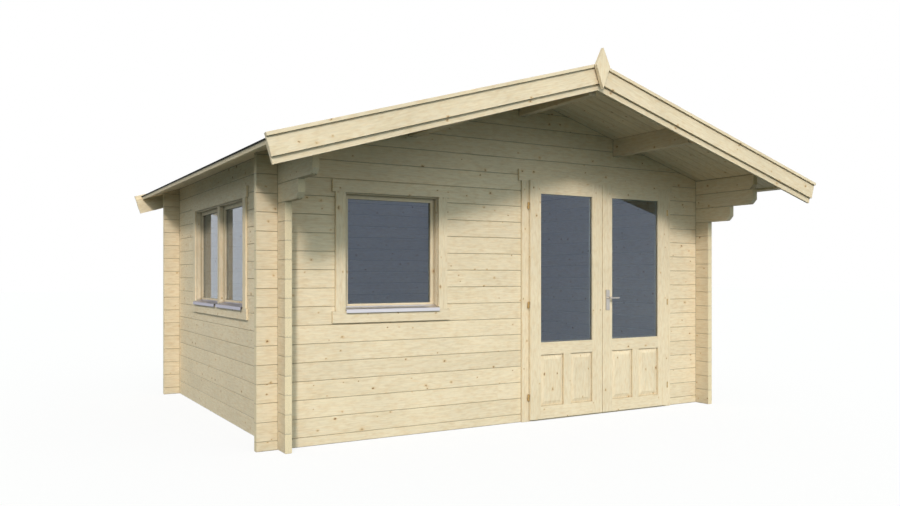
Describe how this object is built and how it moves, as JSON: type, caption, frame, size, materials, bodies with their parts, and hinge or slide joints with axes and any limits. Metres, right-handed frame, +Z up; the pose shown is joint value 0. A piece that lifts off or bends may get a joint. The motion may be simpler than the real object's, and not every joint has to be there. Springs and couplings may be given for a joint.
{
  "type": "log cabin garden house",
  "caption": "Log cabin garden house of pale spruce with interlocking log corners, a low gable roof with a deep canopy on corbels, a half-glazed double door and fixed windows.",
  "frame": {"origin": "on the ground, under the middle of the overall box", "axes": "+X to the right seen from the front, +Y to the back, +Z up; the door and the canopy face -Y"},
  "size_m": [5.0776, 4.4996, 2.9211],
  "materials": {
    "spruce": "planed, untreated",
    "felt": "matt bitumen felt",
    "glass": "clear",
    "aluminium": "mill finish",
    "brass": "yellow passivated",
    "handle": "satin"
  },
  "bodies": {
    "house": {"front_wall": "spruce", "front_gable": "spruce", "back_wall": "spruce", "back_gable": "spruce", "left_wall": "spruce", "right_wall": "spruce", "ridge_purlin": "spruce", "left_purlin": "spruce", "right_purlin": "spruce", "left_roof_boards": "spruce", "right_roof_boards": "spruce", "roof_felt": "felt", "eaves_battens": "spruce", "front_barge_boards": "spruce", "front_barge_backing": "spruce", "front_barge_capping": "spruce", "front_finial": "spruce", "back_barge_boards": "spruce", "back_barge_backing": "spruce", "back_barge_capping": "spruce", "back_finial": "spruce", "floor_joists": "spruce", "floor_boards": "spruce", "front_window_frame": "spruce", "front_window_sash": "spruce", "front_window_glass": "glass", "front_window_casing": "spruce", "front_window_drip_rail": "aluminium", "left_window_frame": "spruce", "left_window_sashes": "spruce", "left_window_glass": "glass", "left_window_casing": "spruce", "left_window_drip_rails": "aluminium", "door_frame": "spruce", "door_threshold": "spruce", "door_casing": "spruce", "door_hinge_pins": "brass"},
    "left_leaf": {"left_door_leaf": "spruce", "left_door_panels": "spruce", "left_door_glass": "glass", "left_door_hinges": "brass"},
    "right_leaf": {"right_door_leaf": "spruce", "right_door_panels": "spruce", "right_door_glass": "glass", "right_door_hinges": "brass", "door_handle_plates": "handle"},
    "lever": {"door_levers": "handle"}
  },
  "joints": [
    {"name": "left_door_swing", "type": "hinge", "parent": "house", "child": "left_leaf", "pos_m": [0.0415, -1.2625, 0.99], "axis": [0, 0, -1], "range_deg": [0, 110]},
    {"name": "right_door_swing", "type": "hinge", "parent": "house", "child": "right_leaf", "pos_m": [1.6625, -1.2625, 0.99], "axis": [0, 0, 1], "range_deg": [0, 110]},
    {"name": "lever_turn", "type": "hinge", "parent": "right_leaf", "child": "lever", "pos_m": [0.9115, -1.2715, 1.04], "axis": [0, 1, 0], "range_deg": [0, 40], "stiffness_Nm_per_rad": 1.2, "springref_deg": -34.38}
  ]
}
